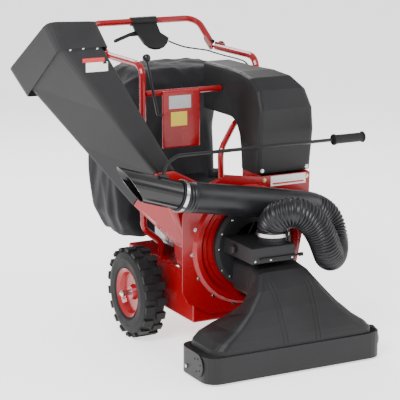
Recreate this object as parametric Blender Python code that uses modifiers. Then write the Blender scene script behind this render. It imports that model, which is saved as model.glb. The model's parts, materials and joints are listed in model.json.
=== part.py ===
"""Walk-behind leaf vacuum mulcher: wheeled chassis, engine, impeller housing with a front nozzle,
a branch hopper, a hand wand on a corrugated hose, and a discharge elbow into a fabric bag.

Metres, +Z up, the machine drives towards -Y. The machine's right is -X.
All places below are measured from the midpoint between the wheels, on the ground;
ORIGIN_SHIFT then moves the whole machine so that its bounding box is centred on the origin.
"""

import math

import bmesh
import bpy
from mathutils import Matrix, Vector

# Driving dimensions, in metres.
ORIGIN_SHIFT = (0.1426, 0.0455)
GAP = 0.0003

TYRE_RADIUS = 0.1675
TYRE_WIDTH = 0.092
RIM_RADIUS = 0.092
WHEEL_X = 0.262
AXLE_Y = -0.02
AXLE_RADIUS = 0.010

PAN_X = 0.183
PAN_FRONT_Y = -0.322
PAN_REAR_Y = 0.215
PAN_BOTTOM_Z = 0.115
PAN_TOP_Z = 0.292
SHEET = 0.003

HANDLE_X = 0.235
HANDLE_TUBE = 0.0125
UPRIGHT_Y = -0.027
HANDLE_TOP_Z = 1.010
FOLD_Y = 0.305
BAR_Y = 0.455
BAR_Z = 1.106
CROSS_Z = 0.904

FAN_X = 0.045
FAN_Z = 0.385
SCROLL_X = 0.028
SCROLL_RADIUS = 0.222
HOUSING_FRONT_Y = -0.327
HOUSING_BACK_Y = -0.192
OUTLET_LEFT = 0.087
OUTLET_RIGHT = 0.288
OUTLET_TOP = 0.628
INTAKE_RADIUS = 0.105
FEED_LEAN = math.radians(26.5)

NOZZLE_X = 0.042
SKIRT_HALF = 0.352
SKIRT_FRONT_Y = -0.676
SKIRT_REAR_Y = -0.452
SKIRT_BOTTOM_Z = 0.007
SKIRT_TOP_Z = 0.100
ROLLER_RADIUS = 0.036

HOSE_RADIUS = 0.054
HOSE_ROUTE = (
    (0.036, -0.500, 0.456), (0.036, -0.500, 0.467), (0.036, -0.500, 0.478), (0.035, -0.508, 0.503),
    (0.043, -0.538, 0.531),
    (0.075, -0.566, 0.546),
    (0.115, -0.577, 0.533), (0.155, -0.580, 0.500), (0.190, -0.576, 0.452), (0.220, -0.562, 0.400),
    (0.252, -0.532, 0.362), (0.290, -0.492, 0.355), (0.318, -0.456, 0.375), (0.327, -0.430, 0.420),
    (0.312, -0.418, 0.468), (0.272, -0.416, 0.503), (0.216, -0.416, 0.523), (0.150, -0.417, 0.535),
    (0.060, -0.413, 0.551), (-0.030, -0.413, 0.566), (-0.120, -0.416, 0.582), (-0.210, -0.420, 0.598),
    (-0.268, -0.420, 0.6075), (-0.296, -0.420, 0.616),
)

INLET_LOW = (-0.080, -0.562, 0.375)
INLET_RIGHT_X = 0.092
INLET_TOP_Z = 0.432

WAND_Y = -0.420
WAND_LEAN = math.radians(17.3)
WAND_RADIUS = 0.050
WAND_TOP_LENGTH = 0.242
WAND_LOW_LENGTH = 0.123
WAND_GAP = 0.0035
ROD_Z = 0.754
ROD_RADIUS = 0.0065
GRIP_X = 0.330
GRIP_LENGTH = 0.128

PANEL_SLOPE = math.radians(43.6)
PANEL_THICKNESS = 0.010
LEVER_PIVOT = (-0.025, -0.052)
CABLE_RADIUS = 0.003
CABLE_ROUTE = (
    (0.0725, 0.3775, 1.0330), (0.090, 0.368, 1.024), (0.130, 0.352, 1.009), (0.175, 0.330, 1.001),
    (0.204, 0.302, 0.997), (0.2145, 0.265, 0.992), (0.2165, 0.180, 0.990), (0.2165, 0.080, 0.990),
    (0.2165, 0.015, 0.983), (0.2165, -0.022, 0.950), (0.2165, -0.036, 0.880), (0.2165, -0.036, 0.700),
    (0.2165, -0.042, 0.550), (0.2130, -0.055, 0.440), (0.190, -0.066, 0.360), (0.168, -0.068, 0.325),
    (0.166, -0.068, 0.296),
)


# Scene, materials and small helpers.

def clear_scene():
    for item in list(bpy.data.objects):
        bpy.data.objects.remove(item, do_unlink=True)


def make_collection(name, hidden=False):
    group = bpy.data.collections.new(name)
    bpy.context.scene.collection.children.link(group)
    group.hide_render = hidden
    return group


clear_scene()
parts = make_collection("leaf_vacuum_mulcher")
cutters = make_collection("cutters", hidden=True)

machine = bpy.data.objects.new("machine_origin", None)
machine.location = (ORIGIN_SHIFT[0], ORIGIN_SHIFT[1], 0)
parts.objects.link(machine)


def make_material(name, colour, roughness, metallic=0.0):
    material = bpy.data.materials.new(name)
    material.use_nodes = True
    shader = material.node_tree.nodes["Principled BSDF"]
    shader.inputs["Base Color"].default_value = (*colour, 1)
    shader.inputs["Roughness"].default_value = roughness
    shader.inputs["Metallic"].default_value = metallic
    material.diffuse_color = (*colour, 1)
    return material


RED = make_material("red_paint", (0.52, 0.012, 0.012), 0.35)
BLACK_PLASTIC = make_material("textured_black_plastic", (0.035, 0.035, 0.037), 0.55)
GLOSS_BLACK = make_material("gloss_black_plastic", (0.012, 0.012, 0.013), 0.15)
BLACK_STEEL = make_material("black_painted_steel", (0.02, 0.02, 0.021), 0.4)
RUBBER = make_material("tyre_rubber", (0.018, 0.018, 0.018), 0.85)
HOSE_MATERIAL = make_material("hose_plastic", (0.03, 0.03, 0.032), 0.45)
FABRIC = make_material("bag_fabric", (0.012, 0.012, 0.014), 0.9)
STEEL = make_material("bright_steel", (0.62, 0.62, 0.62), 0.28, 1.0)
ALUMINIUM = make_material("cast_aluminium", (0.5, 0.5, 0.51), 0.45, 1.0)
GREY_PLATE = make_material("grey_plate", (0.55, 0.55, 0.56), 0.4)


def finish(item, material, hidden=False):
    """Puts a new object in its collection, gives it its material and parents it to the machine."""
    for group in list(item.users_collection):
        group.objects.unlink(item)
    (cutters if hidden else parts).objects.link(item)
    if material is not None:
        item.data.materials.clear()
        item.data.materials.append(material)
    item.parent = machine
    if hidden:
        item.hide_render = True
        item.display_type = "WIRE"
    return item


def mesh_object(name, built, material, hidden=False):
    mesh = bpy.data.meshes.new(name)
    built.to_mesh(mesh)
    built.free()
    return finish(bpy.data.objects.new(name, mesh), material, hidden)


def shade(item, angle=35):
    item.data.shade_smooth()
    item.data.set_sharp_from_angle(angle=math.radians(angle))
    return item


def bevel(item, width, segments=2):
    modifier = item.modifiers.new("rounded edges", "BEVEL")
    modifier.width = width
    modifier.segments = segments
    modifier.limit_method = "ANGLE"
    modifier.angle_limit = math.radians(40)
    return item


def box(name, low, high, material, rounding=0.0, hidden=False):
    """A box between two corners."""
    low, high = Vector(low), Vector(high)
    built = bmesh.new()
    bmesh.ops.create_cube(built, size=1)
    bmesh.ops.scale(built, vec=high - low, verts=built.verts)
    item = mesh_object(name, built, material, hidden)
    item.location = (low + high) / 2
    return bevel(item, rounding) if rounding else item


def cylinder(name, centre, axis, radius, length, material, sides=32, hidden=False):
    """A cylinder centred on a point and along an axis."""
    built = bmesh.new()
    bmesh.ops.create_cone(built, cap_ends=True, segments=sides, radius1=radius, radius2=radius, depth=length)
    item = mesh_object(name, built, material, hidden)
    item.location = centre
    item.rotation_mode = "QUATERNION"
    item.rotation_quaternion = Vector((0, 0, 1)).rotation_difference(Vector(axis))
    return item if hidden else shade(item)


def turned(name, profile, centre, axis, material, steps=36):
    """A solid turned about an axis. The profile holds (radius, height) from top to bottom on its outside."""
    built = bmesh.new()
    points = [built.verts.new((radius, 0, height)) for radius, height in profile]
    for first, second in zip(points, points[1:] + points[:1]):
        if profile[points.index(first)][0] > 0 or profile[points.index(second)][0] > 0:
            built.edges.new((first, second))
    item = mesh_object(name, built, material)
    screw = item.modifiers.new("turn", "SCREW")
    screw.steps = screw.render_steps = steps
    screw.use_merge_vertices = True
    screw.merge_threshold = 0.00005
    item.location = centre
    item.rotation_mode = "QUATERNION"
    item.rotation_quaternion = Vector((0, 0, 1)).rotation_difference(Vector(axis))
    return shade(item)


def rounded_path(points, radius, steps=5):
    """Points of a bent tube's centre line: straight runs with a round bend at each inner point."""
    points = [Vector(point) for point in points]
    path = [points[0]]
    for before, corner, after in zip(points, points[1:], points[2:]):
        into, out = (before - corner).normalized(), (after - corner).normalized()
        half = into.angle(out) / 2
        trim = min(radius / math.tan(half), 0.48 * (before - corner).length, 0.48 * (after - corner).length)
        bend = trim * math.tan(half)
        centre = corner + (into + out).normalized() * (bend / math.sin(half))
        start, end = corner + into * trim - centre, corner + out * trim - centre
        turn = start.angle(end)
        for step in range(steps + 1):
            share = step / steps
            weight = math.sin((1 - share) * turn) / math.sin(turn), math.sin(share * turn) / math.sin(turn)
            path.append(centre + start * weight[0] + end * weight[1])
    path.append(points[-1])
    return path


def smooth_path(points, per_span=2):
    """Points along a Catmull-Rom curve through the given points."""
    points = [Vector(point) for point in points]
    padded = [2 * points[0] - points[1], *points, 2 * points[-1] - points[-2]]
    path = []
    for a, b, c, d in zip(padded, padded[1:], padded[2:], padded[3:]):
        for step in range(per_span):
            t = step / per_span
            path.append(0.5 * (
                2 * b + (c - a) * t + (2 * a - 5 * b + 4 * c - d) * t * t
                + (3 * b - a - 3 * c + d) * t * t * t
            ))
    path.append(points[-1])
    return path


def tube(name, points, radius, material, resolution=2):
    """A solid rod along a path, as a curve with a round bevel."""
    curve = bpy.data.curves.new(name, "CURVE")
    curve.dimensions = "3D"
    curve.bevel_depth = radius
    curve.bevel_resolution = resolution
    curve.use_fill_caps = True
    curve.twist_mode = "MINIMUM"
    spline = curve.splines.new("POLY")
    spline.points.add(len(points) - 1)
    for place, point in zip(spline.points, points):
        place.co = (*point, 1)
    spline.use_smooth = True
    return finish(bpy.data.objects.new(name, curve), material)


def plate(name, outline, thickness, material, location=(0, 0, 0), rotation=(0, 0, 0), holes=()):
    """A flat sheet from an outline in its own XY plane, with optional holes inside it."""
    curve = bpy.data.curves.new(name, "CURVE")
    curve.dimensions = "2D"
    curve.fill_mode = "BOTH"
    curve.extrude = thickness / 2
    for loop in (outline, *holes):
        spline = curve.splines.new("POLY")
        spline.points.add(len(loop) - 1)
        for place, (x, y) in zip(spline.points, loop):
            place.co = (x, y, 0, 1)
        spline.use_cyclic_u = True
    item = finish(bpy.data.objects.new(name, curve), material)
    item.location = location
    item.rotation_euler = rotation
    return item


def as_mesh(item):
    """The object with a mesh in place of its curve, so that a Boolean can take it."""
    bpy.context.view_layer.update()
    graph = bpy.context.evaluated_depsgraph_get()
    mesh = bpy.data.meshes.new_from_object(item.evaluated_get(graph))
    built = bmesh.new()
    built.from_mesh(mesh)
    bmesh.ops.remove_doubles(built, verts=built.verts, dist=0.00001)
    bmesh.ops.recalc_face_normals(built, faces=built.faces)
    built.to_mesh(mesh)
    built.free()
    name, material, place = item.name, item.data.materials[0], item.matrix_world.copy()
    hidden = item.hide_render
    bpy.data.objects.remove(item, do_unlink=True)
    made = finish(bpy.data.objects.new(name, mesh), material, hidden)
    made.matrix_world = place
    return made


def boolean(item, other, operation):
    modifier = item.modifiers.new(operation.lower(), "BOOLEAN")
    modifier.operation = operation
    modifier.object = other
    modifier.solver = "EXACT"
    other.hide_render = True
    other.display_type = "WIRE"
    if parts in other.users_collection:
        parts.objects.unlink(other)
        cutters.objects.link(other)
    return item


def cut(item, *others):
    for other in others:
        boolean(item, other, "DIFFERENCE")
    return item


def join(item, *others):
    for other in others:
        boolean(item, other, "UNION")
    return item


def circle(radius, sides, centre=(0, 0), start=0.0, end=math.tau):
    full = abs(end - start - math.tau) < 1e-6
    count = sides if full else sides + 1
    return [
        (centre[0] + radius * math.cos(start + (end - start) * i / sides),
         centre[1] + radius * math.sin(start + (end - start) * i / sides))
        for i in range(count)
    ]


def rounded_rectangle(half_width, half_height, corner, per_corner=4):
    """Points of a rectangle with round corners, anticlockwise from the right side."""
    points = []
    for quarter, (sx, sy) in enumerate(((1, 1), (-1, 1), (-1, -1), (1, -1))):
        centre = (sx * (half_width - corner), sy * (half_height - corner))
        points += circle(corner, per_corner, centre, quarter * math.pi / 2, (quarter + 1) * math.pi / 2)
    return points


def loft(name, rings, material, wall=None, closed_ends=False):
    """A skin through rings of equal point counts. With a wall it is an open shell of that thickness."""
    built = bmesh.new()
    rows = [[built.verts.new(point) for point in ring] for ring in rings]
    count = len(rows[0])
    for lower, upper in zip(rows, rows[1:]):
        for i in range(count):
            j = (i + 1) % count
            built.faces.new((lower[i], lower[j], upper[j], upper[i]))
    if closed_ends:
        built.faces.new(reversed(rows[0]))
        built.faces.new(rows[-1])
        bmesh.ops.recalc_face_normals(built, faces=built.faces)
    item = mesh_object(name, built, material)
    shade(item, 40)
    if wall:
        solidify = item.modifiers.new("wall", "SOLIDIFY")
        solidify.thickness = wall
        solidify.offset = -1
        solidify.use_even_offset = True
    return item


# Chassis, wheels and drive.

def build_chassis():
    pan = box("chassis_pan", (-PAN_X, PAN_FRONT_Y, PAN_BOTTOM_Z), (PAN_X, PAN_REAR_Y, PAN_TOP_Z), RED, 0.006)
    hollow = box(
        "pan_hollow", (-PAN_X + SHEET, PAN_FRONT_Y + SHEET, PAN_BOTTOM_Z + SHEET),
        (PAN_X - SHEET, PAN_REAR_Y + 0.05, PAN_TOP_Z - SHEET), RED, hidden=True,
    )
    axle_hole = cylinder(
        "pan_axle_hole", (0, AXLE_Y, TYRE_RADIUS), (1, 0, 0), AXLE_RADIUS + 0.001, 0.6, RED, 24, hidden=True,
    )
    belt_slot = box("pan_belt_slot", (-0.030, -0.156, PAN_TOP_Z - 0.02), (0.120, -0.118, PAN_TOP_Z + 0.02),
                    RED, hidden=True)
    cradle = cylinder("pan_cradle", (SCROLL_X, -0.280, FAN_Z), (0, 1, 0), SCROLL_RADIUS + 0.0015, 0.240, RED, 72,
                      hidden=True)
    cut(pan, hollow, axle_hole, belt_slot, cradle)

    axle_end = ((0, 0.329), (0.006, 0.329), (0.012, 0.323), (0.012, 0.313), (AXLE_RADIUS, 0.313))
    turned("drive_axle", axle_end + tuple((radius, -height) for radius, height in reversed(axle_end)),
           (0, AXLE_Y, TYRE_RADIUS), (1, 0, 0), STEEL, 24)

    case = box("gearbox", (-0.055, AXLE_Y - 0.045, 0.128), (0.055, AXLE_Y + 0.045, 0.222), ALUMINIUM, 0.008)
    cut(case, cylinder("gearbox_bore", (0, AXLE_Y, TYRE_RADIUS), (1, 0, 0), AXLE_RADIUS + 0.0008, 0.3,
                       ALUMINIUM, 24, hidden=True))


def build_wheels():
    half = TYRE_WIDTH / 2
    tyre_profile = (
        (RIM_RADIUS + 0.001, half - 0.010), (RIM_RADIUS + 0.010, half - 0.002), (0.128, half),
        (0.150, half - 0.006), (0.1605, half - 0.018), (0.1620, 0.012), (0.1620, -0.012),
        (0.1605, -half + 0.018), (0.150, -half + 0.006), (0.128, -half),
        (RIM_RADIUS + 0.010, -half + 0.002), (RIM_RADIUS + 0.001, -half + 0.010),
    )
    rim_profile = (
        (AXLE_RADIUS + 0.0010, half - 0.020), (0.024, half - 0.020), (0.030, half - 0.034),
        (0.070, half - 0.030), (0.078, half - 0.014), (RIM_RADIUS, half - 0.006),
        (RIM_RADIUS, -half + 0.006), (0.078, -half + 0.014), (0.070, -half + 0.034),
        (0.030, -half + 0.034), (0.024, -half + 0.014), (AXLE_RADIUS + 0.0010, -half + 0.014),
    )
    lugs = 18
    for side, sign in (("right", -1), ("left", 1)):
        hub = Vector((sign * WHEEL_X, AXLE_Y, TYRE_RADIUS))
        tyre = turned(f"tyre_{side}", tyre_profile, hub, (sign, 0, 0), RUBBER, 32)
        band = bmesh.new()
        for i in range(lugs):
            for row in (-1, 1):
                turn = Matrix.Rotation(math.tau * (i + (0.5 if row > 0 else 0)) / lugs, 4, "X")
                size = Matrix.Diagonal((0.036, 0.0285, 0.0115, 1))
                place = turn @ Matrix.Translation((row * 0.0225, 0, -TYRE_RADIUS + 0.00575))
                bmesh.ops.create_cube(band, size=1, matrix=place @ size)
        knobs = mesh_object(f"tyre_lugs_{side}", band, RUBBER, hidden=True)
        knobs.location = hub
        join(tyre, knobs)
        turned(f"rim_{side}", rim_profile, hub, (sign, 0, 0), RED, 32)


def build_engine():
    deck = PAN_TOP_Z + GAP
    cylinder("crankshaft", (FAN_X, -0.085, FAN_Z), (0, 1, 0), 0.0125, 0.430, STEEL, 24)
    block = box("engine_block", (FAN_X - 0.095, -0.110, deck), (FAN_X + 0.095, 0.095, deck + 0.190),
                ALUMINIUM, 0.010)
    cut(block, cylinder("block_bore", (FAN_X, 0, FAN_Z), (0, 1, 0), 0.0135, 0.6, ALUMINIUM, 24, hidden=True),
        box("block_hollow", (FAN_X - 0.080, -0.095, deck - 0.02), (FAN_X + 0.080, 0.080, deck + 0.175),
            ALUMINIUM, hidden=True))
    head = box("cylinder_head", (FAN_X - 0.195, -0.075, deck + 0.055), (FAN_X - 0.0955, 0.055, deck + 0.175),
               ALUMINIUM, 0.006)
    fins = bmesh.new()
    for i in range(5):
        place = Matrix.Translation((FAN_X - 0.185 + 0.018 * i, -0.010, deck + 0.115))
        bmesh.ops.create_cube(fins, size=1, matrix=place @ Matrix.Diagonal((0.007, 0.150, 0.140, 1)))
    join(head, mesh_object("head_fins", fins, ALUMINIUM, hidden=True))
    turned(
        "recoil_housing",
        ((0, 0.070), (0.066, 0.070), (0.082, 0.058), (0.088, 0.0), (0.083, 0.0), (0.077, 0.054),
         (0.063, 0.064), (0, 0.064)),
        (FAN_X, 0.0955, FAN_Z), (0, 1, 0), BLACK_STEEL, 32,
    )
    box("fuel_tank", (FAN_X - 0.105, -0.070, deck + 0.1985), (FAN_X + 0.095, 0.095, deck + 0.275),
        BLACK_STEEL, 0.018)
    turned("fuel_cap", ((0, 0.020), (0.022, 0.020), (0.026, 0.014), (0.026, 0), (0, 0)),
           (FAN_X + 0.045, 0.020, deck + 0.275 + GAP), (0, 0, 1), BLACK_PLASTIC, 24)
    box("air_filter", (FAN_X + 0.0955, 0.000, deck + 0.085), (FAN_X + 0.160, 0.098, deck + 0.180),
        BLACK_PLASTIC, 0.012)
    box("muffler", (FAN_X - 0.195, -0.060, deck + 0.1865), (FAN_X - 0.110, 0.060, deck + 0.262), STEEL, 0.015)
    box("recoil_handle", (FAN_X - 0.040, 0.1660, FAN_Z + 0.030), (FAN_X + 0.040, 0.184, FAN_Z + 0.048),
        BLACK_PLASTIC, 0.006)


def build_belt_drive():
    belt_y, drive_r, driven_r, low_z = -0.137, 0.026, 0.042, 0.205
    def groove(radius):
        return ((radius + 0.007, 0.012), (radius, 0.006), (radius, -0.006), (radius + 0.007, -0.012))
    bore, shaft = 0.0128, 0.008
    turned("engine_pulley", ((bore, 0.012), *groove(drive_r), (bore, -0.012)),
           (FAN_X, belt_y, FAN_Z), (0, 1, 0), STEEL, 28)
    turned("gearbox_pulley", ((0, 0.0715), (shaft, 0.0715), (shaft, 0.012), *groove(driven_r), (0, -0.012)),
           (FAN_X, belt_y, low_z), (0, 1, 0), STEEL, 28)
    outer, inner = [], []
    distance = FAN_Z - low_z
    lean = math.asin((driven_r - drive_r) / distance)
    for gap, loop in ((0.0012 + 0.006, outer), (0.0012, inner)):
        loop += circle(drive_r + gap, 14, (0, distance), lean, math.pi - lean)
        loop += circle(driven_r + gap, 20, (0, 0), math.pi - lean, math.tau + lean)
    plate("drive_belt", outer, 0.009, RUBBER, (FAN_X, belt_y, low_z), (math.pi / 2, 0, 0), holes=(inner,))


def sided(sign, low_x, high_x, low, high):
    """Corners of a box that is mirrored with the side it stands on; low and high hold its Y and Z."""
    near, far = sorted((sign * low_x, sign * high_x))
    return (near, *low), (far, *high)


def build_handle():
    foot_x, foot_top = 0.163, PAN_TOP_Z + GAP + 0.006
    tube_out = HANDLE_X + HANDLE_TUBE
    bolt = cylinder("fold_bolt_holes", (0, FOLD_Y, HANDLE_TOP_Z), (1, 0, 0), 0.0045, 0.7, STEEL, 16, hidden=True)
    path = rounded_path(
        ((-HANDLE_X, FOLD_Y + 0.022, HANDLE_TOP_Z + 0.012), (-HANDLE_X, BAR_Y, BAR_Z),
         (HANDLE_X, BAR_Y, BAR_Z), (HANDLE_X, FOLD_Y + 0.022, HANDLE_TOP_Z + 0.012)), 0.05, 6)
    upper = as_mesh(tube("upper_handle", path, HANDLE_TUBE, RED, 3))
    for side, sign in (("right", -1), ("left", 1)):
        x = sign * HANDLE_X
        path = rounded_path(
            ((sign * foot_x, UPRIGHT_Y, foot_top - 0.001), (sign * foot_x, UPRIGHT_Y, 0.345),
             (x, UPRIGHT_Y, 0.405), (x, UPRIGHT_Y, HANDLE_TOP_Z), (x, FOLD_Y - 0.022, HANDLE_TOP_Z)), 0.045, 5)
        upright = as_mesh(tube(f"handle_upright_{side}", path, HANDLE_TUBE, RED, 3))
        foot = box(f"upright_foot_{side}", *sided(sign, foot_x - 0.018, foot_x + 0.018,
                   (UPRIGHT_Y - 0.030, PAN_TOP_Z + GAP), (UPRIGHT_Y + 0.030, foot_top)), RED, hidden=True)
        bracket = box(f"fold_bracket_{side}", *sided(sign, tube_out - 0.002, tube_out + 0.0045,
                      (FOLD_Y - 0.060, HANDLE_TOP_Z - 0.016), (FOLD_Y + 0.012, HANDLE_TOP_Z + 0.016)),
                      RED, hidden=True)
        cut(join(upright, foot, bracket), bolt)
        ear_outline = circle(0.012, 10, (0, 0), math.radians(120), math.radians(303))
        ear_outline += circle(0.011, 6, (0.045, 0.028), math.radians(-57), math.radians(120))
        ear = as_mesh(plate(f"handle_ear_{side}", ear_outline, 0.0065, RED,
                            (sign * (HANDLE_X - HANDLE_TUBE - 0.00025), FOLD_Y, HANDLE_TOP_Z),
                            (math.pi / 2, 0, math.pi / 2)))
        join(upper, ear)
        turned(f"fold_knob_{side}",
               ((0, 0.026), (0.013, 0.026), (0.019, 0.020), (0.019, 0.009), (0.010, 0.006), (0.010, 0),
                (0.004, 0), (0.004, -0.031), (0, -0.031)),
               (sign * (tube_out + 0.0045 + GAP), FOLD_Y, HANDLE_TOP_Z), (sign, 0, 0), BLACK_PLASTIC, 20)
    cut(upper, bolt)
    inner = HANDLE_X - HANDLE_TUBE - GAP
    tube("cross_tube", [Vector((-inner, UPRIGHT_Y, CROSS_Z)), Vector((OUTLET_LEFT - 0.002, UPRIGHT_Y, CROSS_Z))],
         0.011, RED, 3)


# Impeller housing, intake and nozzle.

def scroll_outline(radius, top, inset=0.0):
    """The housing's outline in X and Z about the impeller's axis: a round scroll with an upright outlet."""
    left, right = OUTLET_LEFT - SCROLL_X + inset, OUTLET_RIGHT - SCROLL_X - inset
    end = math.acos(left / radius)
    outline = [(right, top - FAN_Z)]
    outline += circle(radius, 40, (0, 0), 0, end - math.tau)
    outline.append((left, top - FAN_Z))
    return outline


def build_housing():
    upright = (math.pi / 2, 0, 0)
    depth = HOUSING_BACK_Y - HOUSING_FRONT_Y
    middle = (HOUSING_BACK_Y + HOUSING_FRONT_Y) / 2
    scroll = as_mesh(plate("housing_scroll", scroll_outline(SCROLL_RADIUS, OUTLET_TOP), depth - 0.003, RED,
                           (SCROLL_X, middle + 0.0015, FAN_Z), upright))
    hollow = as_mesh(plate("scroll_hollow", scroll_outline(SCROLL_RADIUS - SHEET, OUTLET_TOP + 0.05, SHEET),
                           depth, RED, (SCROLL_X, middle - SHEET, FAN_Z), upright))
    feed_hole = box("scroll_feed_hole", (-0.040, -0.045, -0.085), (0.040, 0.045, 0.085), RED, hidden=True)
    feed_hole.location = (SCROLL_X - 0.195, middle, FAN_Z + 0.108)
    feed_hole.rotation_euler = (0, FEED_LEAN, 0)
    cut(scroll, hollow, feed_hole,
        cylinder("scroll_shaft_hole", (FAN_X, HOUSING_BACK_Y, FAN_Z), (0, 1, 0), 0.016, 0.1, RED, 24, hidden=True))

    flange = [(-0.275, -0.150), (-0.255, -0.190), (-0.165, -0.242), (0.10, -0.242), (0.180, -0.150),
              (0.203, -0.052), (0.243, 0.162), (0.2455, OUTLET_TOP - FAN_Z - 0.002),
              (0.035, OUTLET_TOP - FAN_Z - 0.002), (-0.100, 0.262), (-0.238, 0.180), (-0.275, 0.135)]
    cover = as_mesh(plate("housing_cover", flange, SHEET, RED,
                          (FAN_X, HOUSING_FRONT_Y - 0.0015, FAN_Z), upright, holes=(circle(INTAKE_RADIUS, 40),)))
    ring = turned("cover_ring", ((0.165, 0.004), (0.178, 0.004), (0.190, 0.014), (0.208, 0.014),
                                 (0.220, -0.001), (0.158, -0.001)),
                  (SCROLL_X, HOUSING_FRONT_Y - 0.0025, FAN_Z), (0, -1, 0), RED, 40)
    join(cover, ring)

    hub = turned("impeller", ((0.0128, 0.045), (0.032, 0.045), (0.034, 0.006), (0.190, 0.006),
                              (0.190, 0.0), (0.0128, 0.0)),
                 (FAN_X, HOUSING_BACK_Y - 0.016, FAN_Z), (0, -1, 0), BLACK_STEEL, 40)
    blades = bmesh.new()
    for i in range(6):
        turn = Matrix.Rotation(math.tau * i / 6, 4, "Y")
        place = Matrix.Translation((0.108, -0.041, 0))
        bmesh.ops.create_cube(blades, size=1, matrix=turn @ place @ Matrix.Diagonal((0.156, 0.078, 0.006, 1)))
    blade_item = mesh_object("impeller_blades", blades, BLACK_STEEL, hidden=True)
    blade_item.location = (FAN_X, HOUSING_BACK_Y - 0.016, FAN_Z)
    join(hub, blade_item)

    box("shredder_blade", (FAN_X - 0.080, -0.3085, FAN_Z - 0.020), (FAN_X + 0.080, -0.3025, FAN_Z + 0.020),
        STEEL, 0.001)
    turned("intake_plate", ((0.085, 0.022), (0.142, 0.022), (0.156, 0.016), (0.156, 0.0), (0.085, 0.0)),
           (FAN_X, HOUSING_FRONT_Y - SHEET - GAP - 0.0045, FAN_Z), (0, -1, 0), BLACK_PLASTIC, 48)


def rounded_ring(centre, across, along, half_width, half_height, corner, per_corner=3):
    """A rounded rectangle in space, about a centre and spanned by two unit directions."""
    centre, across, along = Vector(centre), Vector(across), Vector(along)
    return [centre + across * x + along * y
            for x, y in rounded_rectangle(half_width, half_height, corner, per_corner)]


def build_nozzle():
    # Each row: section centre's Y and Z, tilt from upright in degrees, half width, half depth, corner radius.
    sections = (
        (-0.3585, 0.290, 0, 0.086, 0.068, 0.040), (-0.420, 0.292, 0, 0.087, 0.068, 0.036),
        (-0.485, 0.298, 10, 0.091, 0.069, 0.032), (-0.530, 0.284, 34, 0.104, 0.073, 0.030),
        (-0.552, 0.250, 57, 0.134, 0.080, 0.030), (-0.560, 0.208, 74, 0.184, 0.088, 0.032),
        (-0.562, 0.170, 86, 0.243, 0.096, 0.036),
        (-0.563, 0.140, 90, 0.296, 0.102, 0.042), (-0.563, 0.118, 90, 0.318, 0.105, 0.045),
        (-0.563, SKIRT_TOP_Z + 0.001, 90, 0.322, 0.106, 0.045),
    )
    rings = []
    for y, z, tilt, half_width, half_depth, corner in sections:
        lean = math.radians(tilt)
        rings.append(rounded_ring((NOZZLE_X, y, z), (1, 0, 0), (0, -math.sin(lean), math.cos(lean)),
                                  half_width, half_depth, corner, 4))
    return loft("nozzle_body", rings, BLACK_PLASTIC, wall=0.004)


def build_skirt():
    middle_y, half_y = (SKIRT_FRONT_Y + SKIRT_REAR_Y) / 2, (SKIRT_REAR_Y - SKIRT_FRONT_Y) / 2
    outer = rounded_rectangle(SKIRT_HALF, half_y, 0.050, 5)
    inner = rounded_rectangle(SKIRT_HALF - 0.007, half_y - 0.007, 0.043, 5)
    skirt = as_mesh(plate("nozzle_skirt", outer, SKIRT_TOP_Z - SKIRT_BOTTOM_Z, BLACK_PLASTIC,
                          (NOZZLE_X, middle_y, (SKIRT_TOP_Z + SKIRT_BOTTOM_Z) / 2), holes=(inner,)))
    rollers_y, axle_z = -0.520, ROLLER_RADIUS
    cut(skirt, cylinder("skirt_axle_holes", (NOZZLE_X, rollers_y, axle_z), (1, 0, 0), 0.0075, 0.8,
                        BLACK_PLASTIC, 20, hidden=True))
    turned("nozzle_axle", ((0, SKIRT_HALF + 0.006), (0.006, SKIRT_HALF + 0.006),
                           (0.006, -SKIRT_HALF - 0.006), (0, -SKIRT_HALF - 0.006)),
           (NOZZLE_X, rollers_y, axle_z), (1, 0, 0), STEEL, 16)
    for side, sign in (("right", -1), ("left", 1)):
        turned(f"nozzle_roller_{side}",
               ((0.0065, 0.014), (0.030, 0.014), (ROLLER_RADIUS, 0.009), (ROLLER_RADIUS, -0.009),
                (0.030, -0.014), (0.0065, -0.014)),
               (NOZZLE_X + sign * 0.318, rollers_y, axle_z), (1, 0, 0), RUBBER, 28)
        face = NOZZLE_X + sign * (SKIRT_HALF + GAP)
        outline = circle(0.041, 28, (-0.600, 0.062))
        holes = [circle(0.0035, 8, (-0.600 + 0.024 * math.cos(a), 0.062 + 0.024 * math.sin(a)))
                 for a in (0.9, 1.9, 2.9, 3.9, 4.9)]
        plate(f"height_plate_{side}", outline, 0.004, BLACK_PLASTIC, (face + sign * 0.002, 0, 0),
              (math.pi / 2, 0, math.pi / 2), holes=holes)


def build_manifold():
    """The hose inlet above the nozzle's neck: open to the housing at the back and to the hose on top."""
    back = HOUSING_FRONT_Y - SHEET - 0.0045 - 0.022 - 2 * GAP
    low, high = Vector(INLET_LOW), Vector((INLET_RIGHT_X, back, INLET_TOP_Z))
    manifold = box("hose_inlet", low, high, BLACK_PLASTIC, 0.003)
    wall = Vector((0.004, 0.004, 0.004))
    cut(manifold, box("inlet_hollow", low + wall, high - wall + Vector((0, 0.05, 0)), BLACK_PLASTIC, hidden=True),
        cylinder("inlet_hole", (HOSE_ROUTE[0][0], HOSE_ROUTE[0][1], INLET_TOP_Z), (0, 0, 1), 0.044, 0.02,
                 BLACK_PLASTIC, 32, hidden=True))
    turned("latch_knob", ((0, 0.016), (0.011, 0.016), (0.015, 0.012), (0.015, 0.004), (0.009, 0), (0, 0)),
           (low.x - GAP, -0.440, 0.405), (-1, 0, 0), BLACK_PLASTIC, 20)
    rod, knob = 0.0035, 0.007
    turned("retaining_rod", ((0, 0.168), (knob, 0.168), (knob, 0.154), (rod, 0.154), (rod, 0), (0, 0)),
           (-0.048, low.y - rod - GAP, 0.392), (1, 0, 0), BLACK_STEEL, 16)


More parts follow.
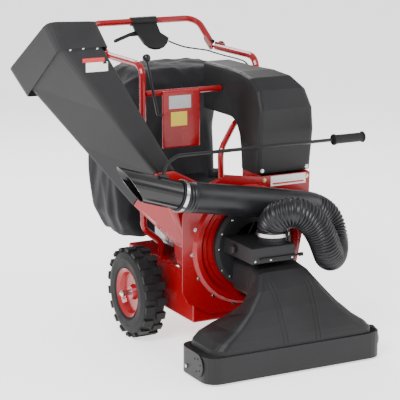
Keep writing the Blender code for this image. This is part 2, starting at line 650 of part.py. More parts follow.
def build_hose():
    x, y, top = HOSE_ROUTE[0]
    base = INLET_TOP_Z + GAP
    turned("hose_collar", ((0.044, top - base - GAP), (0.050, top - base - GAP), (0.050, 0.008),
                           (0.054, 0.006), (0.054, 0), (0.044, 0)), (x, y, base), (0, 0, 1), BLACK_PLASTIC, 28)
    path = smooth_path(HOSE_ROUTE, 3)
    tube("hose", path, HOSE_RADIUS, HOSE_MATERIAL, 4)
    bore, out, width = HOSE_RADIUS + 0.0014, HOSE_RADIUS + 0.0042, 0.012
    ring = ((bore, width), (out, width), (out, 0), (bore, 0))
    turned("hose_clamp_inlet", ring, (x, y, top + 0.001), (0, 0, 1), STEEL, 36)
    end, before = Vector(HOSE_ROUTE[-1]), Vector(HOSE_ROUTE[-2])
    back_along = (before - end).normalized()
    turned("hose_clamp_wand", ring, end + back_along * 0.006, back_along, STEEL, 36)


def build_wand():
    """The hand wand: a tube with a slanted mouth, and a carrying rod with a grip at its far end."""
    axis = Vector((-math.cos(WAND_LEAN), 0, math.sin(WAND_LEAN)))
    up = Vector((math.sin(WAND_LEAN), 0, math.cos(WAND_LEAN)))
    across = Vector((0, -1, 0))
    start = Vector(HOSE_ROUTE[-1]) + axis * WAND_GAP
    middle, half = (WAND_TOP_LENGTH + WAND_LOW_LENGTH) / 2, (WAND_TOP_LENGTH - WAND_LOW_LENGTH) / 2
    rings = []
    for share in (0.0, 0.5, 1.0):
        ring = []
        for x, y in circle(WAND_RADIUS, 32):
            reach = share * (middle + half * y / WAND_RADIUS)
            ring.append(start + axis * reach + across * x + up * y)
        rings.append(ring)
    loft("wand_tube", rings, GLOSS_BLACK, wall=0.003)

    foot = start + axis * 0.068 + up * (WAND_RADIUS + GAP)
    saddle = box("rod_saddle", (-0.018, -0.008, 0), (0.018, 0.008, 0.008), BLACK_STEEL, hidden=True)
    saddle.location = foot + up * 0.004
    saddle.rotation_euler = (0, WAND_LEAN, 0)
    rod_end = GRIP_X + GRIP_LENGTH - 0.0085
    path = rounded_path(((foot.x, WAND_Y, foot.z + 0.004), (-0.335, WAND_Y, 0.732), (-0.292, WAND_Y, ROD_Z),
                         (rod_end, WAND_Y, ROD_Z)), 0.03, 4)
    join(as_mesh(tube("wand_rod", path, ROD_RADIUS, BLACK_STEEL, 2)), saddle)
    bore = ROD_RADIUS + GAP
    turned("wand_grip",
           ((0, GRIP_LENGTH), (0.018, GRIP_LENGTH), (0.020, GRIP_LENGTH - 0.002), (0.020, GRIP_LENGTH - 0.006),
            (0.0165, GRIP_LENGTH - 0.007), (0.0165, 0.008), (0.020, 0.007), (0.020, 0), (bore, 0),
            (bore, GRIP_LENGTH - 0.008), (0, GRIP_LENGTH - 0.008)),
           (GRIP_X, WAND_Y, ROD_Z), (1, 0, 0), RUBBER, 24)


# Branch hopper.

def corner_ring(corners, radius, per_corner=3):
    """A ring through four corners in space with each corner rounded off."""
    corners = [Vector(corner) for corner in corners]
    ring = []
    for i, corner in enumerate(corners):
        before, after = corners[i - 1], corners[(i + 1) % 4]
        start = corner + (before - corner).normalized() * radius
        end = corner + (after - corner).normalized() * radius
        for step in range(per_corner + 1):
            t = step / per_corner
            ring.append(start * (1 - t) ** 2 + corner * 2 * t * (1 - t) + end * t * t)
    return ring


def build_hopper():
    # Corners in order: front right, front left, back left, back right.
    low = ((-0.249, -0.300, 0.678), (-0.321, -0.300, 0.678), (-0.336, -0.150, 0.531), (-0.264, -0.150, 0.531))
    high = ((-0.528, -0.300, 1.150), (-0.678, -0.300, 1.150), (-0.678, -0.050, 0.960), (-0.526, -0.050, 0.960))
    rings = []
    for share in (0.0, 0.5, 1.0):
        corners = [Vector(a).lerp(Vector(b), share) for a, b in zip(low, high)]
        rings.append(corner_ring(corners, 0.010 + 0.012 * share))
    loft("hopper_chute", rings, BLACK_PLASTIC, wall=0.004)

    hood_low = ((-0.499, -0.310, 1.128), (-0.676, -0.310, 1.128), (-0.684, -0.034, 0.930), (-0.490, -0.034, 0.930))
    hood_high = ((-0.538, -0.310, 1.215), (-0.716, -0.310, 1.222), (-0.742, -0.018, 1.026), (-0.556, -0.018, 1.022))
    hood_rings = []
    for share, radius in ((0.0, 0.020), (0.35, 0.022), (0.75, 0.026), (1.0, 0.030)):
        corners = [Vector(a).lerp(Vector(b), share) for a, b in zip(hood_low, hood_high)]
        hood_rings.append(corner_ring(corners, radius))
    loft("hopper_hood", hood_rings, BLACK_PLASTIC, wall=0.004)

    clearance = Vector((0.6, 0, -0.8)) * 0.004
    top = [Vector(corner) + clearance for corner in low]
    outlet = ((-0.069, -0.318, 0.579), (-0.177, -0.318, 0.363), (-0.177, -0.205, 0.363), (-0.069, -0.205, 0.579))
    base = loft("hopper_base", [corner_ring(outlet, 0.008), corner_ring(top, 0.010)], RED, wall=0.0025)
    cut(base, cylinder("base_saddle", (SCROLL_X, -0.26, FAN_Z), (0, 1, 0), SCROLL_RADIUS + 0.0012, 0.2, RED, 72,
                       hidden=True))


# Discharge elbow, its collar and the bag.

def build_discharge():
    # Each station: the outer edge's place (Y, Z), the inner edge's place (Y, Z), then its two X limits.
    stations = (
        ((-0.302, 0.629), (-0.178, 0.629), 0.087, 0.309), ((-0.308, 0.700), (-0.172, 0.700), 0.087, 0.312),
        ((-0.316, 0.780), (-0.160, 0.752), 0.087, 0.314), ((-0.322, 0.862), (-0.140, 0.784), 0.087, 0.304),
        ((-0.300, 0.930), (-0.115, 0.800), 0.087, 0.286), ((-0.240, 0.968), (-0.095, 0.805), 0.087, 0.264),
        ((-0.160, 0.982), (-0.075, 0.806), 0.087, 0.240), ((-0.058, 0.986), (-0.058, 0.806), 0.087, 0.208),
    )
    rings = []
    for (outer_y, outer_z), (inner_y, inner_z), right_x, left_x in stations:
        corners = ((left_x, inner_y, inner_z), (right_x, inner_y, inner_z),
                   (right_x, outer_y, outer_z), (left_x, outer_y, outer_z))
        rings.append(corner_ring(corners, 0.016, 3))
    loft("discharge_elbow", rings, BLACK_PLASTIC, wall=0.004)
    collar = [corner_ring(((0.208, y, 0.806), (0.087, y, 0.806), (0.087, y, 0.986), (0.208, y, 0.986)), 0.016, 3)
              for y in (-0.0575, 0.000, 0.110)]
    loft("bag_collar", collar, BLACK_PLASTIC, wall=0.003)


def build_bag():
    """A closed bag with a slack front, narrow at its collar end and rounded at the back."""
    rows = (
        (0.960, -0.150, 0.205, 0.190, 0.420), (0.900, -0.205, 0.210, 0.140, 0.500),
        (0.720, -0.212, 0.212, 0.215, 0.560), (0.520, -0.215, 0.215, 0.210, 0.585),
        (0.380, -0.210, 0.212, 0.212, 0.560), (0.295, -0.175, 0.185, 0.235, 0.500),
    )
    rings = []
    for z, right_x, left_x, front_y, back_y in rows:
        corners = ((left_x, front_y, z), (right_x, front_y, z), (right_x, back_y, z), (left_x, back_y, z))
        rings.append(corner_ring(corners, 0.075, 4))
    loft("bag", list(reversed(rings)), FABRIC, closed_ends=True)


# Controls on the handle.

def build_panel():
    """The control panel hangs on the bar. Its outline is in its own plane, which slopes down and forwards."""
    bar = Vector((0, BAR_Y, BAR_Z))
    outline = ((0.053, -0.0145), (0.052, -0.065), (0.078, -0.095), (0.064, -0.118), (0.046, -0.133),
               (0.024, -0.141), (0.002, -0.142), (-0.018, -0.134), (-0.034, -0.112), (-0.050, -0.048),
               (-0.050, -0.0145))
    panel = as_mesh(plate("control_panel", outline, PANEL_THICKNESS, BLACK_PLASTIC, bar, (PANEL_SLOPE, 0, 0)))
    clamp_length = 0.107
    sleeve = turned("panel_clamp", ((HANDLE_TUBE + GAP, clamp_length), (0.0175, clamp_length), (0.0175, 0),
                                    (HANDLE_TUBE + GAP, 0)), bar + Vector((-0.052, 0, 0)), (1, 0, 0),
                    BLACK_PLASTIC, 24)
    join(panel, sleeve)

    down = Vector((0, math.sin(PANEL_SLOPE), -math.cos(PANEL_SLOPE)))
    blade = ((-0.012, -0.040), (-0.030, -0.038), (-0.075, -0.051), (-0.144, -0.077), (-0.150, -0.082),
             (-0.150, -0.088), (-0.144, -0.091), (-0.075, -0.065), (-0.030, -0.064), (-0.012, -0.062))
    lever = plate("drive_lever", [(x - LEVER_PIVOT[0], y - LEVER_PIVOT[1]) for x, y in reversed(blade)], 0.005,
                  BLACK_PLASTIC, rotation=(PANEL_SLOPE, 0, 0))
    along = Vector((0, math.cos(PANEL_SLOPE), math.sin(PANEL_SLOPE)))
    lever.location = (bar + Vector((LEVER_PIVOT[0], 0, 0)) + along * LEVER_PIVOT[1]
                      + down * (PANEL_THICKNESS / 2 + 0.0025 + GAP))


def build_controls():
    console = sided(-1, 0.012, 0.165, (UPRIGHT_Y - 0.026, 0.700), (UPRIGHT_Y - 0.0115, 0.912))
    box("control_console", *console, RED, 0.006)
    path = rounded_path(((0.012, HOUSING_BACK_Y + 0.020, 0.480), (0.012, HOUSING_BACK_Y + 0.030, 0.700),
                         (0.105, -0.100, 0.785), (0.196, -0.050, 0.790)), 0.07, 5)
    tube("guard_tube", path, 0.011, RED, 3)

    ball, pivot_z = Vector((-0.244, -0.080, 1.043)), 0.825
    pivot = Vector((console[0][0] - GAP, UPRIGHT_Y - 0.019, pivot_z))
    path = rounded_path((ball, pivot + Vector((-0.018, 0, 0)), pivot), 0.012, 4)
    stem = as_mesh(tube("gear_lever", path, 0.005, BLACK_STEEL, 2))
    built = bmesh.new()
    bmesh.ops.create_uvsphere(built, u_segments=16, v_segments=10, radius=0.015)
    knob = mesh_object("gear_lever_ball", built, BLACK_PLASTIC, hidden=True)
    knob.location = ball
    shade(join(stem, knob))

    tube("drive_cable", smooth_path(CABLE_ROUTE, 3), CABLE_RADIUS, HOSE_MATERIAL, 2)


build_chassis()
build_wheels()
build_engine()
build_belt_drive()
build_handle()
build_housing()
build_nozzle()
build_skirt()
build_manifold()
build_hose()
build_wand()
build_hopper()
build_discharge()
build_bag()
build_panel()
build_controls()
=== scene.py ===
import math
import json
import bmesh
import bpy
from mathutils import Matrix, Vector, noise


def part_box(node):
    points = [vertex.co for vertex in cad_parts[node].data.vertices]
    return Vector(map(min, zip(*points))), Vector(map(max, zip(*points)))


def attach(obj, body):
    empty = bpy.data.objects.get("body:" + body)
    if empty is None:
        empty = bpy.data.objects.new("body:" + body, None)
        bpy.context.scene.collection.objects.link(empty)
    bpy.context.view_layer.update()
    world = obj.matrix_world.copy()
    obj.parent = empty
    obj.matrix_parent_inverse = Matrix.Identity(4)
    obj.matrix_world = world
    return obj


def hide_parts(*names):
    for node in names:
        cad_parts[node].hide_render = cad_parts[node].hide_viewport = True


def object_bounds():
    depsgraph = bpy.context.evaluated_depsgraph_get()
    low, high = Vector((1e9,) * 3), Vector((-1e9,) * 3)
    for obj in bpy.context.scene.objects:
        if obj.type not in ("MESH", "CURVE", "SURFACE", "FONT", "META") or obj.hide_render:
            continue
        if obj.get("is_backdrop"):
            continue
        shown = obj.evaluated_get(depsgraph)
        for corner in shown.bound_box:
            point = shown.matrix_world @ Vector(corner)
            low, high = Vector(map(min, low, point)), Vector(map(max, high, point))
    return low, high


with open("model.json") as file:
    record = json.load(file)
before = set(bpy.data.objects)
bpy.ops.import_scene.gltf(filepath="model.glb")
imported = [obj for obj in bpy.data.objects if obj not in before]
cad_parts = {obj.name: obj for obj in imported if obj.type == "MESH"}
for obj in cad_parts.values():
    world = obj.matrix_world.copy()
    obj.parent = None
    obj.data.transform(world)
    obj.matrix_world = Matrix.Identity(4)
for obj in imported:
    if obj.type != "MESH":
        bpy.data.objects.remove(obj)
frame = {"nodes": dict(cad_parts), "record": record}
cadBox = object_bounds()
nodes = frame["nodes"]
print("frame loaded,", len(nodes), "CAD parts")

# places are measured from the midpoint between the wheels, on the ground
machineOrigin = Vector((0.1426, 0.0455, 0.0))
farAway = 2.0  # well outside the machine, where rays toward it start


def place(x, y, z):
    return machineOrigin + Vector((x, y, z))


# camera, floor and light
cameraSettings = {"eye": (-2.7750, -5.3010, 1.8573), "heading": 27.744, "drop": 12.940, "lens": 147.6}
camera = bpy.data.objects.new("camera", bpy.data.cameras.new("camera"))
camera.data.lens = cameraSettings["lens"]
camera.data.sensor_width = 36
camera.location = place(*cameraSettings["eye"])
camera.rotation_euler = (math.radians(90 - cameraSettings["drop"]), 0, math.radians(-cameraSettings["heading"]))
bpy.context.scene.collection.objects.link(camera)
bpy.context.scene.camera = camera

studio = {
    "skyStrength": 0.75, "floorTone": 0.97, "floorGlow": 1.3, "floorSize": 30, "floorGap": 0.0005, "aim": (0, 0, 0.5),
    "lamps": {
        "key": {"spot": (-2.6, -2.4, 3.4), "power": 190, "size": 1.6},
        "fill": {"spot": (3.2, -1.8, 2.2), "power": 60, "size": 2.4},
        "back": {"spot": (0.6, 3.0, 3.0), "power": 100, "size": 2.0},
    },
}
world = bpy.data.worlds.new("studio")
bpy.context.scene.world = world
world.use_nodes = True
world.node_tree.nodes["Background"].inputs[0].default_value = (1, 1, 1, 1)
world.node_tree.nodes["Background"].inputs[1].default_value = studio["skyStrength"]
for name, setting in studio["lamps"].items():
    lamp = bpy.data.objects.new(name, bpy.data.lights.new(name, "AREA"))
    lamp.data.energy = setting["power"]
    lamp.data.size = setting["size"]
    lamp.location = setting["spot"]
    lamp.rotation_euler = (Vector(studio["aim"]) - Vector(setting["spot"])).to_track_quat("-Z", "Y").to_euler()
    bpy.context.scene.collection.objects.link(lamp)


# small makers
def linkPiece(name, mesh, material, body="machine", smooth=True, angle=35):
    piece = bpy.data.objects.new(name, mesh)
    bpy.context.scene.collection.objects.link(piece)
    if material:
        piece.data.materials.clear()
        piece.data.materials.append(material)
    if smooth:
        mesh.shade_smooth()
        mesh.set_sharp_from_angle(angle=math.radians(angle))
    if body:
        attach(piece, body)
    return piece


def meshFrom(built, name):
    mesh = bpy.data.meshes.new(name)
    built.to_mesh(mesh)
    built.free()
    return mesh


def turnTo(axis):
    return Vector((0, 0, 1)).rotation_difference(Vector(axis)).to_matrix().to_4x4()


def tubeRows(built, frames, radii, sides):
    # one ring of corners for each frame, joined into a closed tube
    rows = []
    for (point, side, up), radius in zip(frames, radii):
        rows.append([built.verts.new(point + (side * math.cos(a) + up * math.sin(a)) * radius)
                     for a in (math.tau * k / sides for k in range(sides))])
    for lower, upper in zip(rows, rows[1:]):
        for k in range(sides):
            j = (k + 1) % sides
            built.faces.new((lower[k], lower[j], upper[j], upper[k]))
    built.faces.new(list(reversed(rows[0])))
    built.faces.new(rows[-1])


def smoothRoute(points, perSpan):
    # a smooth curve through every point, with perSpan steps between two of them
    points = [Vector(point) for point in points]
    padded = [2 * points[0] - points[1], *points, 2 * points[-1] - points[-2]]
    route = []
    for a, b, c, d in zip(padded, padded[1:], padded[2:], padded[3:]):
        for step in range(perSpan):
            t = step / perSpan
            route.append(0.5 * (2 * b + (c - a) * t + (2 * a - 5 * b + 4 * c - d) * t * t
                                + (3 * b - a - 3 * c + d) * t * t * t))
    route.append(points[-1])
    return route


def evenRoute(points, spacing):
    # the same line with points about one spacing apart, and its whole length
    reach = [0.0]
    for a, b in zip(points, points[1:]):
        reach.append(reach[-1] + (b - a).length)
    count = max(2, round(reach[-1] / spacing))
    route, at = [], 0
    for i in range(count + 1):
        want = reach[-1] * i / count
        while at < len(reach) - 2 and reach[at + 1] < want:
            at += 1
        share = (want - reach[at]) / (reach[at + 1] - reach[at])
        route.append(points[at].lerp(points[at + 1], share))
    return route, reach[-1]


def routeFrames(route):
    # each point with two directions across the line that never twist round it
    frames = []
    side = None
    for i, point in enumerate(route):
        ahead = (route[min(i + 1, len(route) - 1)] - route[max(i - 1, 0)]).normalized()
        if side is None:
            side = ahead.orthogonal().normalized()
        side = (side - ahead * side.dot(ahead)).normalized()
        frames.append((point, side, ahead.cross(side)))
    return frames


# shader groups
def makeGroup(name, inputs, outputs):
    group = bpy.data.node_groups.new(name, "ShaderNodeTree")
    for label, kind, value in inputs:
        socket = group.interface.new_socket(name=label, in_out="INPUT", socket_type=kind)
        if value is not None:
            socket.default_value = value
    for label, kind in outputs:
        group.interface.new_socket(name=label, in_out="OUTPUT", socket_type=kind)
    return group, group.nodes.new("NodeGroupInput"), group.nodes.new("NodeGroupOutput")


def addNoise(tree, scale, detail, rough=0.55):
    node = tree.nodes.new("ShaderNodeTexNoise")
    node.inputs["Scale"].default_value = scale
    node.inputs["Detail"].default_value = detail
    node.inputs["Roughness"].default_value = rough
    return node


def addRange(tree, value, low, high, to0, to1):
    node = tree.nodes.new("ShaderNodeMapRange")
    tree.links.new(value, node.inputs["Value"])
    for label, number in (("From Min", low), ("From Max", high), ("To Min", to0), ("To Max", to1)):
        node.inputs[label].default_value = number
    return node.outputs["Result"]


def makeSurfaceGroup():
    # mottled tone, roughness and a fine bump, all from the object's own coordinates
    group, start, end = makeGroup(
        "surfaceDetail",
        [("Vector", "NodeSocketVector", None), ("Tone", "NodeSocketColor", (0.5, 0.5, 0.5, 1)),
         ("Dust", "NodeSocketColor", (0.6, 0.6, 0.6, 1)), ("Dust Amount", "NodeSocketFloat", 0.1),
         ("Grain Scale", "NodeSocketFloat", 900.0), ("Patch Scale", "NodeSocketFloat", 9.0),
         ("Rough Low", "NodeSocketFloat", 0.3), ("Rough High", "NodeSocketFloat", 0.5)],
        [("Color", "NodeSocketColor"), ("Roughness", "NodeSocketFloat"), ("Height", "NodeSocketFloat")])
    patch = addNoise(group, 9, 5)
    group.links.new(start.outputs["Vector"], patch.inputs["Vector"])
    group.links.new(start.outputs["Patch Scale"], patch.inputs["Scale"])
    grain = group.nodes.new("ShaderNodeTexVoronoi")
    group.links.new(start.outputs["Vector"], grain.inputs["Vector"])
    group.links.new(start.outputs["Grain Scale"], grain.inputs["Scale"])
    spread = addRange(group, patch.outputs["Fac"], 0.42, 0.72, 0.0, 1.0)
    amount = group.nodes.new("ShaderNodeMath")
    amount.operation = "MULTIPLY"
    group.links.new(spread, amount.inputs[0])
    group.links.new(start.outputs["Dust Amount"], amount.inputs[1])
    mix = group.nodes.new("ShaderNodeMix")
    mix.data_type = "RGBA"
    group.links.new(amount.outputs[0], mix.inputs["Factor"])
    group.links.new(start.outputs["Tone"], mix.inputs["A"])
    group.links.new(start.outputs["Dust"], mix.inputs["B"])
    group.links.new(mix.outputs["Result"], end.inputs["Color"])
    blendRough = group.nodes.new("ShaderNodeMix")
    group.links.new(spread, blendRough.inputs["Factor"])
    group.links.new(start.outputs["Rough Low"], blendRough.inputs["A"])
    group.links.new(start.outputs["Rough High"], blendRough.inputs["B"])
    group.links.new(blendRough.outputs["Result"], end.inputs["Roughness"])
    group.links.new(grain.outputs["Distance"], end.inputs["Height"])
    return group


surfaceGroup = makeSurfaceGroup()


def makeFinish(name, tone, dust=(0.5, 0.5, 0.5), dustAmount=0.08, grain=900.0, patch=9.0, rough=(0.3, 0.45),
               bump=0.1, depth=0.0004, metallic=0.0, coat=0.0, sheen=0.0, specular=0.5):
    material = bpy.data.materials.new(name)
    material.use_nodes = True
    tree = material.node_tree
    shader = tree.nodes["Principled BSDF"]
    coords = tree.nodes.new("ShaderNodeTexCoord")
    detail = tree.nodes.new("ShaderNodeGroup")
    detail.node_tree = surfaceGroup
    tree.links.new(coords.outputs["Object"], detail.inputs["Vector"])
    detail.inputs["Tone"].default_value = (*tone, 1)
    detail.inputs["Dust"].default_value = (*dust, 1)
    for label, number in (("Dust Amount", dustAmount), ("Grain Scale", grain), ("Patch Scale", patch),
                          ("Rough Low", rough[0]), ("Rough High", rough[1])):
        detail.inputs[label].default_value = number
    tree.links.new(detail.outputs["Color"], shader.inputs["Base Color"])
    tree.links.new(detail.outputs["Roughness"], shader.inputs["Roughness"])
    bumper = tree.nodes.new("ShaderNodeBump")
    bumper.inputs["Strength"].default_value = bump
    bumper.inputs["Distance"].default_value = depth
    tree.links.new(detail.outputs["Height"], bumper.inputs["Height"])
    tree.links.new(bumper.outputs["Normal"], shader.inputs["Normal"])
    shader.inputs["Metallic"].default_value = metallic
    shader.inputs["Coat Weight"].default_value = coat
    shader.inputs["Coat Roughness"].default_value = 0.08
    shader.inputs["Sheen Weight"].default_value = sheen
    shader.inputs["Specular IOR Level"].default_value = specular
    return material


def addWeave(material, scale, strength):
    # crossed threads, added to the piece's own bump
    tree = material.node_tree
    coords = tree.nodes.new("ShaderNodeTexCoord")
    bumper = next(node for node in tree.nodes if node.type == "BUMP")
    waves = []
    for direction in ("Z", "DIAGONAL"):
        wave = tree.nodes.new("ShaderNodeTexWave")
        wave.bands_direction = direction
        wave.inputs["Scale"].default_value = scale
        wave.inputs["Distortion"].default_value = 0.6
        wave.inputs["Detail"].default_value = 1
        tree.links.new(coords.outputs["Object"], wave.inputs["Vector"])
        waves.append(wave)
    both = tree.nodes.new("ShaderNodeMath")
    both.operation = "MAXIMUM"
    tree.links.new(waves[0].outputs["Fac"], both.inputs[0])
    tree.links.new(waves[1].outputs["Fac"], both.inputs[1])
    tree.links.new(both.outputs[0], bumper.inputs["Height"])
    bumper.inputs["Strength"].default_value = strength


finishes = {
    "red_paint": makeFinish("redPaint", (0.29, 0.001, 0.004), (0.12, 0.003, 0.006), 0.25, 500, 6, (0.24, 0.36),
                            0.05, coat=0.25, specular=0.4),
    "black_plastic": makeFinish("grainedBlackPlastic", (0.009, 0.009, 0.010), (0.022, 0.022, 0.024), 0.5, 700, 5,
                                (0.44, 0.58), 0.35, 0.0006, specular=0.3),
    "gloss_black": makeFinish("glossBlackPlastic", (0.006, 0.006, 0.007), (0.016, 0.016, 0.016), 0.3, 500, 12,
                              (0.14, 0.24), 0.04, coat=0.3, specular=0.35),
    "black_steel": makeFinish("blackEnamel", (0.007, 0.007, 0.008), (0.02, 0.02, 0.02), 0.3, 600, 10,
                              (0.30, 0.44), 0.08, specular=0.35),
    "rubber": makeFinish("blackRubber", (0.008, 0.008, 0.009), (0.026, 0.026, 0.026), 0.4, 500, 14, (0.55, 0.7), 0.3,
                         specular=0.25),
    "tyre_rubber": makeFinish("tyreRubber", (0.008, 0.008, 0.009), (0.035, 0.033, 0.030), 0.35, 420, 18,
                              (0.60, 0.80), 0.5, 0.0008, specular=0.25),
    "hose_plastic": makeFinish("hosePlastic", (0.008, 0.008, 0.010), (0.020, 0.020, 0.023), 0.4, 500, 14,
                               (0.32, 0.44), 0.15, specular=0.35),
    "bag_fabric": makeFinish("bagFabric", (0.008, 0.008, 0.010), (0.018, 0.018, 0.022), 0.6, 900, 8, (0.75, 0.9), 0.4,
                             0.0006, sheen=0.12, specular=0.2),
    "bright_steel": makeFinish("brightSteel", (0.62, 0.62, 0.63), (0.35, 0.34, 0.33), 0.35, 700, 14, (0.18, 0.36),
                               0.1, metallic=1.0),
    "cast_aluminium": makeFinish("castAluminium", (0.42, 0.42, 0.43), (0.25, 0.25, 0.25), 0.5, 380, 10,
                                 (0.40, 0.55), 0.5, 0.0008, metallic=1.0),
}
addWeave(finishes["bag_fabric"], 260, 0.35)
badgeWhite = makeFinish("labelWhite", (0.78, 0.78, 0.76), (0.6, 0.6, 0.6), 0.3, 900, 30, (0.3, 0.4), 0.03)
badgeRed = makeFinish("labelRed", (0.55, 0.02, 0.03), (0.4, 0.05, 0.05), 0.3, 900, 30, (0.3, 0.4), 0.03)
badgeYellow = makeFinish("labelYellow", (0.72, 0.55, 0.03), (0.5, 0.4, 0.08), 0.3, 900, 30, (0.3, 0.4), 0.03)
badgeGrey = makeFinish("labelGrey", (0.42, 0.43, 0.44), (0.3, 0.3, 0.3), 0.3, 900, 30, (0.3, 0.4), 0.03)
brassBolt = makeFinish("zincBolt", (0.60, 0.47, 0.24), (0.3, 0.25, 0.15), 0.4, 800, 60, (0.25, 0.4), 0.1,
                       metallic=1.0)
floorFinish = makeFinish("paleFloor", (studio["floorTone"],) * 3, (0.9, 0.9, 0.9), 0.3, 30, 3, (0.75, 0.85), 0.02)

floorShader = floorFinish.node_tree.nodes["Principled BSDF"]
floorShader.inputs["Emission Color"].default_value = (1, 1, 1, 1)
floorShader.inputs["Emission Strength"].default_value = studio["floorGlow"]

floorMesh = bmesh.new()
bmesh.ops.create_grid(floorMesh, x_segments=1, y_segments=1, size=studio["floorSize"])
floor = linkPiece("floor", meshFrom(floorMesh, "floor"), floorFinish, body=None, smooth=False)
floor.location.z = min(0.0, cadBox[0].z) - studio["floorGap"]
floor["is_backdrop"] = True
print("camera, floor, light and finishes ready")

slotOf = {entry["node"]: entry["material_slot"] for entry in frame["record"]["subparts"]}
for name, item in nodes.items():
    item.data.materials.clear()
    item.data.materials.append(finishes[slotOf[name]])

# hose: a ribbed duct from the inlet up, over and round to the wand
hose = {
    "radius": 0.054, "rib": 0.0115, "depth": 0.0055, "sides": 40, "ringsPerRib": 6,
    "ribsToFullDepth": 2, "ribShape": 0.7, "sleeve": (-0.235, 0.245), "sleeveEdge": 0.012, "stepsPerSpan": 8,
    "route": (
        (0.036, -0.500, 0.456), (0.036, -0.500, 0.467), (0.036, -0.500, 0.478), (0.035, -0.508, 0.503),
        (0.043, -0.538, 0.531), (0.075, -0.566, 0.546), (0.115, -0.577, 0.533), (0.155, -0.580, 0.500),
        (0.190, -0.576, 0.452), (0.220, -0.562, 0.400), (0.252, -0.532, 0.362), (0.290, -0.492, 0.355),
        (0.318, -0.456, 0.375), (0.327, -0.430, 0.420), (0.312, -0.418, 0.468), (0.272, -0.416, 0.503),
        (0.216, -0.416, 0.523), (0.150, -0.417, 0.535), (0.060, -0.413, 0.551), (-0.030, -0.413, 0.566),
        (-0.120, -0.416, 0.582), (-0.210, -0.420, 0.598), (-0.268, -0.420, 0.6075), (-0.296, -0.420, 0.616),
    ),
}


def makeHose():
    coarse = smoothRoute([place(*point) for point in hose["route"]], hose["stepsPerSpan"])
    route, length = evenRoute(coarse, hose["rib"] / hose["ringsPerRib"])
    frames = routeFrames(route)
    radii = []
    for i, (point, _, _) in enumerate(frames):
        phase = (i % hose["ringsPerRib"]) / hose["ringsPerRib"]
        swell = 0.5 + 0.5 * math.cos(math.tau * phase)
        fromEnd = min(i, len(route) - 1 - i) / hose["ringsPerRib"]
        depth = hose["depth"] * min(1.0, fromEnd / hose["ribsToFullDepth"])
        if i > len(route) / 2:  # a plain sleeve covers the ribs along the straight run
            x = point.x - machineOrigin.x
            past = max(hose["sleeve"][0] - x, x - hose["sleeve"][1])
            depth *= min(1.0, max(0.0, past / hose["sleeveEdge"]))
        radii.append(hose["radius"] - depth * (1 - swell ** hose["ribShape"]))
    built = bmesh.new()
    tubeRows(built, frames, radii, hose["sides"])
    bmesh.ops.recalc_face_normals(built, faces=built.faces)
    piece = linkPiece("hose_ribbed", meshFrom(built, "hose_ribbed"), finishes["hose_plastic"], angle=80)
    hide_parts("hose")
    print("hose", round(length, 3), "m")


# the drive cable, from the panel along the handle tube and down behind the housing
cable = {
    "radius": 0.003, "stepsPerSpan": 3,
    "route": (
        (0.0725, 0.3775, 1.0330), (0.090, 0.368, 1.024), (0.130, 0.352, 1.009), (0.175, 0.330, 1.001),
        (0.204, 0.302, 0.997), (0.2145, 0.265, 0.992), (0.2165, 0.180, 0.990), (0.2165, 0.080, 0.990),
        (0.2165, 0.015, 0.983), (0.2165, -0.022, 0.950), (0.2165, -0.036, 0.880), (0.2165, -0.036, 0.700),
        (0.2165, -0.042, 0.550), (0.2130, -0.055, 0.440), (0.190, -0.066, 0.360), (0.168, -0.068, 0.325),
        (0.166, -0.068, 0.296),
    ),
}


def makeCable():
    route = smoothRoute([place(*point) for point in cable["route"]], cable["stepsPerSpan"])
    curve = bpy.data.curves.new("drive_cable_sleeve", "CURVE")
    curve.dimensions = "3D"
    curve.bevel_depth = cable["radius"]
    curve.bevel_resolution = 4
    curve.use_fill_caps = True
    spline = curve.splines.new("POLY")
    spline.points.add(len(route) - 1)
    for spot, point in zip(spline.points, route):
        spot.co = (*point, 1)
    spline.use_smooth = True
    curve.materials.append(finishes["hose_plastic"])
    piece = bpy.data.objects.new("drive_cable_sleeve", curve)
    bpy.context.scene.collection.objects.link(piece)
    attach(piece, "machine")
    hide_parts("drive_cable")


makeHose()
makeCable()


# bag: the sewn fabric sack behind the machine, slack at the front and creased down its sides
bag = {
    "voxel": 0.011, "smoothing": 6, "softness": 0.7, "creases": 0.010, "sag": 0.012, "fineCreases": 0.004,
    "outward": 0.004, "foldAcross": 11, "foldUp": 2.4, "fineAcross": 27, "fineUp": 9, "fineStart": 5,
    "ridgeSharpness": 2.4, "ridgeLevel": 0.9, "fineLevel": 0.3, "sagScale": 5,
}


def cleanCopy(node, name):
    mesh = nodes[node].data.copy()
    built = bmesh.new()
    built.from_mesh(mesh)
    bmesh.ops.remove_doubles(built, verts=built.verts, dist=0.00002)
    bmesh.ops.recalc_face_normals(built, faces=built.faces)
    built.to_mesh(mesh)
    built.free()
    mesh.name = name
    return mesh


def applyStack(piece):
    bpy.context.view_layer.update()
    graph = bpy.context.evaluated_depsgraph_get()
    mesh = bpy.data.meshes.new_from_object(piece.evaluated_get(graph))
    piece.modifiers.clear()
    piece.data = mesh
    return piece


